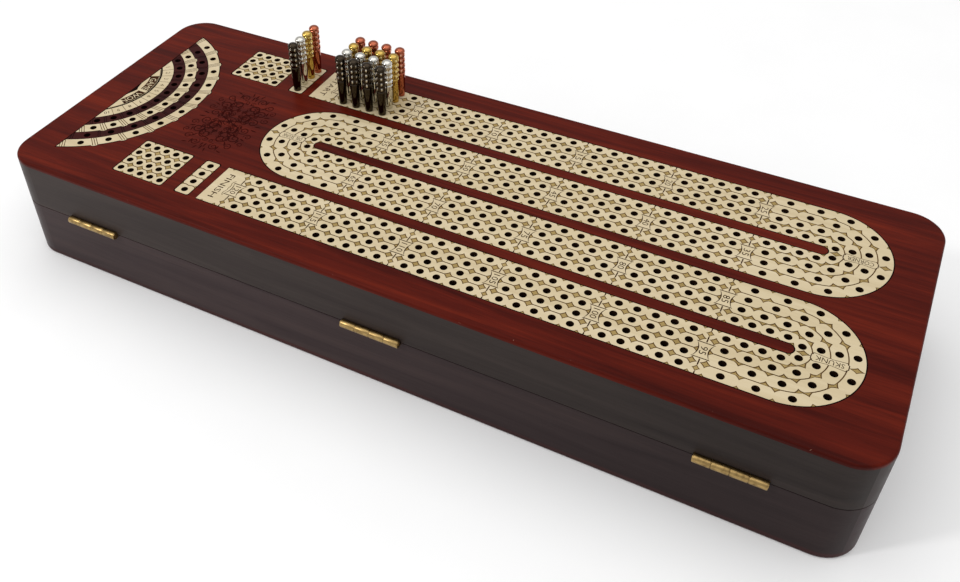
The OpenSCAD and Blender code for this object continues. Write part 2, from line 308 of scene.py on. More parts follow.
def carve(plan, rim):
    """Cuts a plan into triangles, sinks each to its finish's depth and closes the walls and the underside."""
    flat, sides = [], []
    for _, _, points in plan.loops:
        sides.append(list(range(len(flat), len(flat) + len(points))))
        flat += [Vector(p) for p in points]
    corners, _, triangles, _, _, covers = delaunay_2d_cdt(flat, [], sides, 1, 1e-4, True)
    vertices, faces, finishes, number = [], [], [], {}

    def vertex(corner, z):
        key = (corner, z)
        if key not in number:
            number[key] = len(vertices)
            vertices.append((corners[corner].x, corners[corner].y, z))
        return number[key]

    kept, level = [], {}
    for triangle, cover in zip(triangles, covers):
        finish = finish_of([plan.loops[i] for i in cover])
        if finish is None:
            continue
        a, b, c = (corners[i] for i in triangle)
        if (b - a).cross(c - a) < 0:
            triangle = triangle[::-1]
        z = TOP - DEPTHS[finish]
        kept.append(list(triangle))
        faces.append([vertex(i, z) for i in triangle])
        finishes.append(finish)
        for edge in zip(triangle, triangle[1:] + triangle[:1]):
            level[edge] = z
    levels = {}
    for corner, z in number:
        levels.setdefault(corner, []).append(z)

    def column(corner, bottom, top):
        return [vertex(corner, z) for z in sorted(set(levels[corner]) | {bottom}) if bottom <= z <= top]

    loops = edge_loops(kept)
    rim_loop = max(loops, key=lambda loop: max(corners[i].x for i in loop)) if rim else []
    on_rim = set(rim_loop)
    for (a, b), z in sorted(level.items()):
        other = level.get((b, a))
        if other is None and a in on_rim and b in on_rim:
            continue
        bottom = SHEET_BASE if other is None else other
        if bottom < z:
            faces.append(column(a, bottom, z)[:1] + column(b, bottom, z) + column(a, bottom, z)[:0:-1])
            finishes.append("edge" if other is None else "line")
    under = {}
    if rim:
        rings = [[vertex(i, TOP) for i in rim_loop]]
        for outset, z in rim:
            rings.append([len(vertices) + i for i in range(len(rim_loop))])
            vertices += [rim_point(corners[i], outset) + (z,) for i in rim_loop]
        for upper, lower in zip(rings, rings[1:]):
            for i in range(len(rim_loop)):
                faces.append([lower[i - 1], lower[i], upper[i], upper[i - 1]])
                finishes.append("plain")
        under = dict(zip(rim_loop, rings[-1]))
    ground, ground_sides, ground_vertex = [], [], []
    for loop in loops:
        sides = list(range(len(ground), len(ground) + len(loop)))
        ground_vertex += [under[i] if i in under else vertex(i, SHEET_BASE) for i in loop]
        ground += [Vector(vertices[j][:2]) for j in ground_vertex[len(ground):]]
        turn = sum(ground[a].cross(ground[b]) for a, b in zip(sides, sides[1:] + sides[:1]))
        ground_sides.append(sides if turn > 0 else sides[::-1])
    _, _, triangles, origin, _, covers = delaunay_2d_cdt(ground, [], ground_sides, 1, 1e-5, True)
    spots = [ground_vertex[o[0]] for o in origin]
    for triangle, cover in zip(triangles, covers):
        if len(cover) % 2:
            a, b, c = (Vector(vertices[spots[i]][:2]) for i in triangle)
            under_face = [spots[i] for i in triangle]
            faces.append(under_face if (b - a).cross(c - a) < 0 else under_face[::-1])
            finishes.append("edge")
    return vertices, faces, finishes


def add_object(name, data):
    made = bpy.data.objects.new(name, data)
    bpy.context.scene.collection.objects.link(made)
    return made


def make_mesh(name, vertices, faces, *materials):
    mesh = bpy.data.meshes.new(name)
    mesh.from_pydata([(x * MM, y * MM, z * MM) for x, y, z in vertices], [], faces)
    mesh.validate()
    for material in materials:
        mesh.materials.append(material)
    return add_object(name, mesh)


def tube_faces(first, last, turn):
    """Quads between rings of turn vertices, from the ring that begins at first to the one at last."""
    faces = []
    for base in range(first, last, turn):
        for i in range(turn):
            j = (i + 1) % turn
            faces.append([base + i, base + j, base + turn + j, base + turn + i])
    return faces


def grid_faces(columns, rows):
    """Quads of a grid whose vertices are numbered row by row."""
    row = columns + 1
    return [[j * row + i, j * row + i + 1, (j + 1) * row + i + 1, (j + 1) * row + i]
            for j in range(rows) for i in range(columns)]


def settle(piece, body, slot, *nodes):
    """Says what a finished piece rides on and the CAD nodes that it stands for. slot is not used."""
    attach(piece, body)
    if nodes:
        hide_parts(*nodes)
    return piece


def carved_piece(node, plan, materials, slot, rim=None):
    """The engraved form of a CAD node. materials are for the finishes in their order."""
    vertices, faces, finishes = carve(plan, rim)
    piece = make_mesh(f"{node}_engraved", vertices, faces, *materials)
    piece.data.polygons.foreach_set("material_index", [FINISHES.index(f) for f in finishes])
    return settle(piece, "lid", slot, node)


# ---- Materials

def tone(red, green, blue):
    """A linear colour from display values of 0 to 255."""
    def linear(value):
        value /= 255
        return value / 12.92 if value <= 0.04045 else ((value + 0.055) / 1.055) ** 2.4
    return (linear(red), linear(green), linear(blue), 1)


class Finish:
    """A procedural material under construction: helpers for the few nodes that all of them use."""

    def __init__(self, name, metallic=0.0, specular=0.5):
        self.material = bpy.data.materials.new(name)
        self.material.use_nodes = True
        self.tree = self.material.node_tree
        self.shader = self.tree.nodes["Principled BSDF"]
        self.shader.inputs["Metallic"].default_value = metallic
        self.shader.inputs["Specular IOR Level"].default_value = specular
        self.place = self.node("ShaderNodeTexCoord").outputs["Object"]

    def node(self, kind, **inputs):
        made = self.tree.nodes.new(kind)
        for key, value in inputs.items():
            self.set(made.inputs[key.replace("_", " ")], value)
        return made

    def set(self, socket, value):
        if isinstance(value, bpy.types.NodeSocket):
            self.tree.links.new(value, socket)
        else:
            socket.default_value = value

    def noise(self, grain, detail=3.0, roughness=0.55, distortion=0.0, offset=(0, 0, 0)):
        """Noise whose features are about grain millimetres long on each axis."""
        mapping = self.node("ShaderNodeMapping", Vector=self.place)
        mapping.inputs["Scale"].default_value = [1 / (g * MM) for g in grain]
        mapping.inputs["Location"].default_value = offset
        made = self.node("ShaderNodeTexNoise", Vector=mapping.outputs[0], Scale=1.0, Detail=detail,
                         Roughness=roughness, Distortion=distortion)
        return made.outputs["Fac"]

    def ramp(self, value, stops):
        """Maps a value to colours or greys at the given places."""
        made = self.node("ShaderNodeValToRGB", Fac=value)
        elements = made.color_ramp.elements
        while len(elements) < len(stops):
            elements.new(0.5)
        for element, (place, colour) in zip(elements, stops):
            element.position = place
            element.color = colour if isinstance(colour, tuple) else (colour, colour, colour, 1)
        return made.outputs["Color"]

    def mix(self, factor, a, b, blend="MIX"):
        made = self.tree.nodes.new("ShaderNodeMix")
        made.data_type = "RGBA"
        made.blend_type = blend
        for index, value in ((0, factor), (6, a), (7, b)):
            self.set(made.inputs[index], value)
        return made.outputs[2]

    def math(self, operation, a, b):
        made = self.tree.nodes.new("ShaderNodeMath")
        made.operation = operation
        made.use_clamp = operation in ("MULTIPLY", "ADD", "SUBTRACT")
        self.set(made.inputs[0], a)
        self.set(made.inputs[1], b)
        return made.outputs[0]

    def colour(self, value):
        self.set(self.shader.inputs["Base Color"], value)

    def roughness(self, value, low, high):
        self.set(self.shader.inputs["Roughness"], self.ramp(value, [(0.3, low), (0.7, high)]))

    def bump(self, height, distance, strength):
        """distance is the height of the relief in millimetres."""
        made = self.node("ShaderNodeBump", Height=height, Distance=distance * MM, Strength=strength)
        self.set(self.shader.inputs["Normal"], made.outputs[0])


def stretched(along, length, width):
    """Grain sizes for X, Y and Z when the grain runs along X or Y."""
    return (length, width, width) if along == "X" else (width, length, width)


# Lowest and highest roughness of a finish.
LACQUER = (0.32, 0.46)
SATIN = (0.34, 0.46)
MATT = (0.6, 0.8)


def wood(name, dark, middle, light, along="X", figure=9.0, pores=0.4, streaks=0.5,
         rough=LACQUER, specular=0.12, wear_and_highlight=None, shade=None):
    """Lacquered wood: broad figure, fine grain and short dark pores along one axis.
    wear is the colour of the small rubbed specks where the mesh's wear attribute is high. shade is painted
    shade: how much darker the board is painted at its -X end, standing in for light that falls from +X."""
    f = Finish(name, specular=specular)
    broad = f.noise(stretched(along, figure * 16, figure), detail=4, roughness=0.6, distortion=0.8)
    fine = f.noise(stretched(along, 34, 0.9), detail=5, roughness=0.65)
    hair = f.noise(stretched(along, 9, 0.28), detail=2, offset=(3, 5, 7))
    base = f.ramp(broad, [(0.3, tone(*dark)), (0.5, tone(*middle)), (0.72, tone(*light))])
    base = f.mix(streaks, base, f.ramp(fine, [(0.3, 0.62), (0.7, 1.0)]), "MULTIPLY")
    pore = f.ramp(hair, [(0.28, 0.0), (0.42, 1.0)])
    base = f.mix(pores, base, f.ramp(hair, [(0.28, 0.45), (0.42, 1.0)]), "MULTIPLY")
    if wear_and_highlight:
        wear_and_highlight_mask = f.node("ShaderNodeAttribute")
        wear_and_highlight_mask.attribute_name = "wear_and_highlight"
        speck = f.ramp(f.noise((2.6, 2.6, 2.6), detail=6, roughness=0.75), [(0.66, 0.0), (0.70, 1.0)])
        base = f.mix(f.math("MULTIPLY", wear_and_highlight_mask.outputs["Fac"], speck), base, tone(*wear_and_highlight))
    # Painted shade: the board is darkened towards -X, standing in for light that falls from +X.
    if shade:
        apart = f.node("ShaderNodeSeparateXYZ", Vector=f.place)
        along_x = f.node("ShaderNodeMapRange", Value=apart.outputs["X"])
        along_x.inputs["From Min"].default_value = -0.12
        along_x.inputs["From Max"].default_value = 0.06
        painted_shade = f.ramp(along_x.outputs[0], [(0.0, 1 - shade), (1.0, 1.0)])
        base = f.mix(1.0, base, painted_shade, "MULTIPLY")
    f.colour(base)
    f.roughness(broad, *rough)
    f.bump(f.math("ADD", f.math("MULTIPLY", pore, 0.7), f.math("MULTIPLY", fine, 0.3)), 0.02, 0.5)
    return f.material


def metal(name, colour, dull, rough, grain=(0.5, 0.5, 0.5), dirt=0.35, painted_highlight=None):
    """Plated or polished metal with faint handling marks and a duller tone in patches. crest is the colour of a
    painted highlight, laid where the mesh's wear attribute is high."""
    f = Finish(name, metallic=1.0)
    cloud = f.noise((3, 3, 3), detail=5, roughness=0.65)
    marks = f.noise(grain, detail=3)
    base = f.mix(f.ramp(cloud, [(0.45, 0.0), (0.75, dirt)]), tone(*colour), tone(*dull))
    # Painted highlight: where the attribute is high the colour turns bright, standing in for reflections of the
    # lamps.
    if painted_highlight:
        wear_and_highlight_mask = f.node("ShaderNodeAttribute")
        wear_and_highlight_mask.attribute_name = "wear_and_highlight"
        base = f.mix(wear_and_highlight_mask.outputs["Fac"], base, tone(*painted_highlight))
    f.colour(base)
    f.roughness(f.mix(0.5, cloud, marks), rough * 0.7, rough * 1.5)
    f.bump(marks, 0.004, 0.4)
    return f.material


def felt(name, dark, light):
    f = Finish(name, specular=0.2)
    f.shader.inputs["Sheen Weight"].default_value = 0.6
    f.shader.inputs["Sheen Roughness"].default_value = 0.5
    fibre = f.noise((0.35, 0.35, 0.35), detail=6, roughness=0.8, distortion=2.0)
    patch = f.noise((14, 14, 14), detail=3)
    stops = [(0.3, tone(*dark)), (0.7, tone(*light))]
    f.colour(f.mix(0.35, f.ramp(fibre, stops), f.ramp(patch, stops)))
    f.roughness(fibre, 0.85, 1.0)
    f.bump(fibre, 0.12, 0.8)
    return f.material


TOP_WOOD = wood("top_wood", (64, 14, 8), (88, 23, 12), (112, 34, 17), figure=8, streaks=0.8,
                pores=0.5, specular=0.05, wear_and_highlight=(196, 150, 128))
TOP_BURNT = wood("top_burnt", (16, 5, 4), (22, 7, 6), (28, 9, 7), pores=0.3, rough=MATT,
                 specular=0.02)
ORNAMENT_WOOD = wood("top_ornament", (40, 8, 6), (52, 11, 8), (62, 15, 10), rough=MATT,
                     specular=0.02)
# The long lid walls get painted shade: shade darkens them towards -X.
SIDE_WOOD_X = wood("wall_wood_long", (52, 43, 41), (61, 52, 49), (69, 59, 56), pores=0.25,
                   specular=0.08, shade=0.4)
SIDE_WOOD_Y = wood("wall_wood_short", (48, 39, 38), (57, 48, 46), (65, 55, 53), along="Y", pores=0.25,
                   specular=0.08)
# The long tray walls get painted shade: shade darkens them towards -X.
TRAY_WOOD_X = wood("tray_wood_long", (53, 40, 41), (62, 49, 49), (70, 56, 55), pores=0.25,
                   specular=0.08, shade=0.4)
TRAY_WOOD_Y = wood("tray_wood_short", (45, 31, 33), (54, 39, 40), (63, 47, 47), along="Y", pores=0.25,
                   specular=0.08)
BOTTOM_WOOD = wood("bottom_wood", (48, 24, 25), (60, 31, 31), (72, 38, 36), rough=(0.4, 0.55))
CORE_WOOD = wood("core_wood", (20, 11, 8), (28, 16, 12), (36, 21, 15), rough=MATT)
MAPLE = wood("maple", (198, 180, 144), (207, 190, 155), (214, 198, 166), figure=6, pores=0.06,
             streaks=0.12, rough=SATIN)
MAPLE_STAR = wood("maple_scorched", (146, 122, 72), (160, 136, 84), (174, 150, 98), pores=0.1,
                  streaks=0.2, rough=(0.5, 0.7))
MAPLE_LINE = wood("maple_burnt_line", (80, 55, 24), (94, 66, 32), (108, 78, 42), pores=0.1,
                  rough=MATT, specular=0.03)
MAPLE_INK = wood("maple_charred", (46, 24, 12), (58, 32, 17), (70, 42, 24), rough=MATT,
                 specular=0.03)
MAPLE_EDGE = wood("maple_cut_edge", (30, 17, 10), (40, 24, 14), (52, 32, 20), pores=0.2,
                  rough=MATT, specular=0.02)
DARK_INLAY = wood("burnt_maple", (42, 12, 11), (54, 16, 14), (66, 21, 17), figure=6, rough=SATIN,
                  specular=0.05)
DARK_LINE = wood("burnt_maple_line", (20, 6, 6), (27, 8, 8), (34, 10, 9), rough=MATT,
                 specular=0.03)
BRASS = metal("antique_brass", (170, 142, 92), (74, 54, 30), 0.3, grain=(4, 0.3, 0.3), dirt=0.8)
SCREW_BRASS = metal("screw_brass", (190, 152, 82), (120, 90, 44), 0.28, dirt=0.6)
MAGNET = metal("magnet_nickel", (190, 190, 192), (130, 130, 132), 0.25)
RED_FELT = felt("red_felt", (92, 12, 22), (146, 28, 40))
# The last colour of each plating is a painted highlight on the upper middle of each bead.
PEG_METALS = {colour: metal(f"peg_{plating}", bright, dull, rough, dirt=0.3, painted_highlight=painted_highlight)
              for colour, plating, bright, dull, rough, painted_highlight in (
    ("black", "black_nickel", (62, 54, 44), (38, 32, 26), 0.1, (236, 226, 208)),
    ("silver", "nickel", (216, 214, 206), (168, 166, 158), 0.1, (255, 254, 250)),
    ("gold", "gold", (200, 168, 88), (156, 124, 56), 0.11, (255, 244, 196)),
    ("copper", "copper", (178, 100, 74), (136, 72, 50), 0.11, (255, 206, 182)))}
MAPLE_SET = [MAPLE, MAPLE_STAR, MAPLE_LINE, MAPLE_INK, MAPLE_EDGE]
DARK_SET = [DARK_INLAY] + [DARK_LINE] * 4
TOP_SET = [TOP_WOOD, ORNAMENT_WOOD] + [TOP_BURNT] * 3


# ---- Hole places, as in the design

def bend_pitch(row):
    return (2 * (BEND_REACH - STATION_HALF) + pi * (BEND_RADIUS + ROWS[row])) / 10


def straight_groups():
    """(the place where a group of five holes begins, its lane)."""
    return [(STATIONS[k] - STATION_HALF, lane)
            for lane in range(4) for k in range(5) if k > 0 or lane in (0, 3)]


BENDS = [((BEND_FRONT, -LANE_PITCH), -1), ((BEND_BACK, 0), 1), ((BEND_FRONT, LANE_PITCH), -1)]


def track_holes():
    places = [(start - (j + 0.5) * HOLE_PITCH, LANES[lane] + row)
              for start, lane in straight_groups() for j in range(5) for row in ROWS]
    for centre, side in BENDS:
        for row in range(4):
            place = bend_place(centre, side, BEND_RADIUS + ROWS[row])
            places += [place((n + 0.5) * bend_pitch(row), 0) for n in range(-5, 5)]
    return places


def arc_holes(ring):
    return [on_circle(ARC_RADIUS - ring * ARC_STEP, 180 + (n + 0.5) * ARC_SPREAD[ring], ARC_CENTRE)
            for n in range(-5, 5)]


# ---- Inlays

def track_side(offset):
    """One edge of the track from start to finish, offset to the left of the way the pegs run."""
    points = [(TRACK_END, LANES[0] - offset)]
    for (centre, side), end in zip(BENDS, (-270, 90, -270)):
        points += arc(BEND_RADIUS - side * offset, -90, end, centre, 4)
    return points + [(TRACK_END, LANES[3] + offset)]


def track_outline(inset):
    left, right = track_side(HALF_LANE - inset), track_side(inset - HALF_LANE)
    outline = left + right[::-1]
    return [(min(x, TRACK_END - inset), y) for x, y in outline]


def field_outline(side, inset):
    return rounded_rectangle((FIELD_PLACE, side * LANES[3]), FIELD_HALF - inset, HALF_LANE - inset, 1)


def strip_outline(side, inset):
    return rounded_rectangle((STRIP_PLACE, side * LANES[3]), STRIP_HALF - inset, HALF_LANE - inset, 1)


def cut_angle(radius, cut):
    """Angle at which a circle round the arcs' centre meets the straight cut, on the +Y side."""
    return degrees(acos((cut - ARC_CENTRE[0]) / radius))


EAR = [(-1.5, 0), (-1.3, 0.45), (-0.5, 0.78), (0.5, 0.78), (1.3, 0.45), (1.5, 0)]


def arc_side(radius, cut, ears=None):
    """An arc of the games scale from cut to cut, with the small tabs of the light bands if asked for."""
    start = cut_angle(radius, cut)
    points = []
    angles = [180 + n * ears for n in range(-4, 5)] if ears else []
    edges = [start] + angles + [360 - start]
    reach = degrees(1.5 / radius)
    for i, (a, b) in enumerate(zip(edges, edges[1:])):
        low = a + (reach if i > 0 else 0)
        high = b - (reach if i < len(edges) - 2 else 0)
        points += arc(radius, low, high, ARC_CENTRE, 3)
        if i < len(edges) - 2:
            for t, r in EAR[1:-1]:
                points.append(on_circle(radius + r, b + degrees(t / radius), ARC_CENTRE))
    return points


def arc_outline(ring, inset):
    mid = ARC_RADIUS - ring * ARC_STEP
    cut = ARC_CUT - inset
    ears = ARC_SPREAD[ring] if ring % 2 == 0 else None
    outer = arc_side(mid + ARC_STEP / 2 - inset, cut, ears)
    inner_ears = ARC_SPREAD[2] if ring == 1 else None
    inner = arc_side(mid - ARC_STEP / 2 + inset, cut, inner_ears)
    return outer + inner[::-1]


def number_outline(inset):
    outer = arc_side(ARC_RADIUS - 3.5 * ARC_STEP - inset, ARC_CUT - inset)
    inner = arc_side(NUMBER_INNER + inset, ARC_CUT - inset)
    return outer + inner[::-1]


def title_outline(inset):
    """The plate within the number band, with a shallow hollow in its straight side."""
    outer = arc_side(TITLE_OUTER - inset, ARC_CUT - inset)
    x = ARC_CUT - inset
    hollow = [(x, -5.1), (x - 1, -1.2), (x - 1.9, 0.5), (x, 6.1)]
    return outer + hollow


# Half width and height of the half stars at the edge of a lane and within it.
EDGE_SPIKE = (1.3, 1.2)
ROW_SPIKE = (2.1, 1.9)


def edge_spikes(plan, lane_y, x, size=EDGE_SPIKE):
    """A half star on each edge of a lane."""
    for edge in (-1, 1):
        plan.spike(flat_place((0, lane_y + edge * HALF_LANE)), x, -edge, *size)


def cell_pattern(plan, columns, centre_y, ends=True):
    """Lines between the rows and stars between the cells of a block of holes. columns are the places
    along X between the cells; the first and last are the block's ends."""
    lines = [flat_place((0, centre_y + y)) for y in ROW_LINES]
    for line in lines:
        plan.line([line(columns[0], 0), line(columns[-1], 0)])
    for x in columns if ends else columns[1:-1]:
        for line in lines[::2] if x in (columns[0], columns[-1]) else lines:
            plan.star(line, x)
        edge_spikes(plan, centre_y, x)


def bend_pattern(plan, centre, side):
    edges = [-HALF_LANE] + ROW_LINES + [HALF_LANE]
    for y in ROW_LINES:
        place = bend_place(centre, side, BEND_RADIUS + y)
        reach = pi / 2 * (BEND_RADIUS + y) + BEND_REACH - STATION_HALF
        count = 60
        plan.line([place(-reach + 2 * reach * i / count, 0) for i in range(count + 1)])
    for row in range(4):
        row_radius = BEND_RADIUS + ROWS[row]
        half_arc = pi / 2 * row_radius
        for n in (-4, -3, -2, -1, 1, 2, 3, 4):
            s = n * bend_pitch(row)
            for line, way in ((row, 1), (row + 1, -1)):
                radius = BEND_RADIUS + edges[line]
                at_edge = line in (0, 4)
                if abs(s) <= half_arc:
                    along = s / row_radius * radius
                else:
                    along = copysign(pi / 2 * radius + abs(s) - half_arc, s)
                place = bend_place(centre, side, radius)
                half, height = EDGE_SPIKE if at_edge else ROW_SPIKE
                plan.spike(place, along, way, min(half, radius * 0.6), height)
    for row in (0, 3):
        spot = (centre[0] + side * (BEND_RADIUS + ROWS[row]), centre[1])
        plan.star(flat_place(spot), 0, 2.7, 1.5)


def zigzag_end(half_top, y):
    """The top edge of a station plate, from +X to -X, with three teeth."""
    step = half_top / 3
    return [(half_top - i * step, y + (0.7 if i % 2 else 0)) for i in range(7)]


def station_plate(half_end, half_waist, half_long):
    """Outline of a station's number plate: toothed ends and hollow sides."""
    start, end = (half_end - 0.15, half_long - 1.1), (half_end - 0.15, 1.1 - half_long)
    side = [(half_end + 0.35, half_long - 0.7)] + bezier(start, (2 * half_waist - half_end, 0), end, 8)
    side += [end, (half_end + 0.35, 0.7 - half_long)]
    top = zigzag_end(half_end - 0.35, half_long - 0.7)
    bottom = [(-x, -y) for x, y in top]
    return side + bottom + [(-x, -y) for x, y in side] + top


def station(plan, x, lane_y, number, right):
    """A numbered plate in the middle of a lane, with small stars in the outer rows. right is whether there
    is a half star on the plate's +X side."""
    place = flat_place((x, lane_y), 0)
    for size, layer, finish in ((0, PLATE_EDGE, "ink"), (0.42, PLATE, "plain")):
        outline = station_plate(3.15 - size, 2.15 - size, 4.75 - size)
        plan.add(layer, finish, [place(a, b) for a, b in outline])
    for way in (-1, 1):
        if way < 0 or right:
            side = flat_place((x + way * 2.0, lane_y), 90)
            plan.spike(side, 0, -way, 1.7, 1.9)
        row = lane_y + way * 1.5 * ROW_PITCH
        plan.star(flat_place((x, row)), 0, 1.5, 1.7)
        for outer, inner in ((HALF_LANE, 10.7), (7.3, 4.3)):
            plan.line([(x, lane_y + way * outer), (x, lane_y + way * inner)], 0.5, finish="ink")
    text = str(number)
    plan.letters(text, (x, lane_y), 2.6, 90, length=(1.9, 4.1, 5.4)[len(text) - 1], weight=0.035)


def bend_label(plan, centre, side, text):
    """A scrolled plate over the two middle rows of a bend."""
    x = centre[0] + side * BEND_RADIUS
    half, high = ROW_PITCH + 0.55, 2.1
    corner = [(half, high - 0.9), (half - 0.45, high - 0.75), (half - 0.55, high - 0.1),
              (half - 1.1, high + 0.1), (0.5, high - 0.45)]
    top = corner + [(0, high - 0.1)] + [(-a, b) for a, b in corner[::-1]]
    outline = top + [(-a, -b) for a, b in top]
    for size, layer, finish in ((1, PLATE_EDGE, "ink"), (0.945, PLATE, "plain")):
        plan.add(layer, finish, turned(outline, 0, (x, centre[1]), (size, 1 - (1 - size) * 2.4)))
    plan.letters(text, (x, centre[1]), 2.25, 0, length=9.8, weight=0.03)


def track_plan():
    plan = Plan([track_outline(JOINT_GAP)])
    plan.holes(track_holes())
    for start, lane in straight_groups():
        cell_pattern(plan, [start - i * HOLE_PITCH for i in range(6)], LANES[lane])
    numbered = ((0, range(0, 30, 5)), (1, range(55, 30, -5)), (1, range(65, 90, 5)), (0, range(120, 90, -5)))
    for lane, (first, numbers) in enumerate(numbered):
        for x, number in zip(STATIONS[first:], numbers):
            station(plan, x, LANES[lane], number, right=x != STATIONS[0])
            for way, end in ((-1, STATIONS[5]), (1, STATIONS[first])):
                if x != end:
                    continue
                beside = x + way * STATION_HALF
                for line in () if x == STATIONS[0] else (-ROW_PITCH, ROW_PITCH):
                    plan.star(flat_place((0, LANES[lane] + line)), beside)
                edge_spikes(plan, LANES[lane], beside)
    for (centre, side), text in zip(BENDS, ("CORNER", "DBL SKUNK", "SKUNK")):
        bend_pattern(plan, centre, side)
        bend_label(plan, centre, side, text)
    for lane, text in ((0, "START"), (3, "FINISH")):
        plan.letters(text, (86.9, LANES[lane]), 2.9, 90, length=16.5)
        for x in (82.6, 88.7):
            edge_spikes(plan, LANES[lane], x, (1.0, 0.9))
        brace = []
        for way in (1, -1):
            part = [(0.0, 5.1), (0.7, 4.4), (1.0, 3.2), (0.5, 2.2), (0.35, 1.1), (0.5, 0.5)]
            brace += [(82.9 + a, LANES[lane] + way * b) for a, b in (part if way > 0 else part[::-1])]
        plan.line(brace, 0.26)
    return plan


def field_plan(side):
    y = side * LANES[3]
    plan = Plan([field_outline(side, JOINT_GAP)])
    plan.holes([(FIELD_PLACE + c * FIELD_PITCH, y + row) for c in range(-2, 3) for row in ROWS])
    columns = [FIELD_PLACE + (c - 2.5) * FIELD_PITCH for c in range(6)]
    cell_pattern(plan, columns, y, ends=False)
    for line in ROW_LINES:
        for way in (-1, 1):
            plan.spike(flat_place((FIELD_PLACE + way * FIELD_HALF, y + line), 90), 0, way, *EDGE_SPIKE)
    return plan


def strip_plan(side):
    y = side * LANES[3]
    plan = Plan([strip_outline(side, JOINT_GAP)])
    plan.holes([(STRIP_PLACE, y + row) for row in ROWS])
    for line in ROW_LINES:
        wave = [(STRIP_PLACE - STRIP_HALF + 2 * STRIP_HALF * i / 16,
                 y + line + 0.18 * cos(pi * i / 4)) for i in range(17)]
        plan.line(wave)
        for way in (-1, 1):
            edge = flat_place((STRIP_PLACE + way * STRIP_HALF, y + line), 90)
            plan.spike(edge, 0, way, 1.3, 1.1)
    return plan


def arc_plan(ring):
    plan = Plan([arc_outline(ring, JOINT_GAP)])
    plan.holes(arc_holes(ring))
    mid = ARC_RADIUS - ring * ARC_STEP
    light = ring % 2 == 0
    for n in range(-5, 6):
        middle = 180 + n * ARC_SPREAD[ring]
        if abs(n) == 5:
            end = 180 - cut_angle(mid, ARC_CUT) - degrees(0.9 / mid)
            middle = 180 + copysign(end, n)
        for i in range(3 if light else 2):
            shift = (i - (1 if light else 0.5)) * (1.05 if light else 0.9)
            a = middle + degrees(shift / mid)
            slant = degrees(0.5 / mid) * (1 if light else 0)
            plan.line([on_circle(mid - ARC_STEP / 2 + 0.2, a - slant, ARC_CENTRE),
                       on_circle(mid + ARC_STEP / 2 + (0.3 if light else -0.3), a + slant, ARC_CENTRE)],
                      0.34 if light else 0.3)
    return plan


def number_plan():
    plan = Plan([number_outline(JOINT_GAP)])
    middle = (NUMBER_INNER + ARC_RADIUS - 3.5 * ARC_STEP) / 2
    for n in range(-4, 5):
        a = 180 + n * NUMBER_SPREAD
        plan.line([on_circle(r, a, ARC_CENTRE) for r in (NUMBER_INNER, middle + 2.78)], 0.24)
    for n in range(10):
        a = 180 - (n - 4.5) * NUMBER_SPREAD
        plan.letters(str(10 - n), on_circle(middle, 360 - a, ARC_CENTRE), 2.1, 360 - a - 90)
    return plan


def title_plan():
    plan = Plan([title_outline(JOINT_GAP)])
    radius = 26.6
    for start, end in ((153.5, 178.2), (181.8, 209)):
        band = arc(radius - 2.1, start, end, ARC_CENTRE, 3)
        band += arc(radius + 2.1, end, start, ARC_CENTRE, 3)
        plan.add(DETAIL, "ink", band)
    for loop in lettering("GAMES WON", 3.1, 24, 0.03):
        bent = []
        for x, y in loop:
            a = 180 + degrees((x + 0.6) / radius)
            bent.append(on_circle(radius + y, 360 - a, ARC_CENTRE))
        plan.add(LETTERS, "plain", bent)
    plan.line(arc_side(TITLE_OUTER - 0.35, ARC_CUT - 0.6), 0.3, PLATE, "ink")
    return plan


# ---- Top sheet with its engraved ornament

ORNAMENT_CENTRE = (112.5, 2.6)


def scroll(centre, radius, start, turns, width):
    """A ribbon that winds in to a small eye."""
    count = int(26 * abs(turns))
    points, widths = [], []
    for i in range(count + 1):
        t = i / count
        r = radius * (1 - 0.88 * t)
        points.append(on_circle(r, start + 360 * turns * t, centre))
        widths.append(width * (0.35 + 0.65 * sin(pi * min(1, 0.15 + 0.85 * t)) ** 0.7))
    return stroke(points, widths)


def leaf(base, angle, length, width, bow=0.0):
    """A pointed leaf from its base."""
    upper = bezier((0, 0), (0.35 * length, width + bow), (length, bow), 6)
    lower = bezier((length, bow), (0.45 * length, bow - width * 0.7), (0, 0), 6)
    return turned(upper + lower, angle, base)


# A quarter of the ornament: x, y, radius, start, turns and width of its scrolls.
SCROLLS = [
    (4.9, 4.9, 3.3, 200, 1.6, 0.6), (9.9, 9.9, 3.0, 250, -1.6, 0.55), (4.4, 12.2, 3.2, 300, 1.5, 0.55),
    (10.3, 3.3, 2.5, 120, -1.5, 0.5), (5.0, 18.6, 2.3, 240, -1.5, 0.45),
    (10.6, 16.2, 2.2, 200, 1.4, 0.45), (14.6, 6.6, 2.0, 160, 1.4, 0.4), (14.4, 12.6, 1.6, 80, -1.3, 0.4),
    (1.6, 15.4, 1.3, 30, 1.3, 0.35), (1.7, 8.6, 1.2, 210, -1.3, 0.35), (2.3, 5.2, 1.5, 80, 1.4, 0.4),
    (6.4, 8.4, 1.6, 300, -1.4, 0.4), (8.0, 5.2, 1.3, 10, 1.4, 0.35), (2.4, 11.0, 1.4, 160, -1.3, 0.35),
    (6.8, 1.7, 1.3, 200, 1.3, 0.35), (3.6, 2.2, 1.2, 60, -1.3, 0.35), (6.9, 11.4, 1.9, 100, 1.5, 0.5),
    (8.4, 7.6, 1.5, 190, 1.4, 0.4),
]
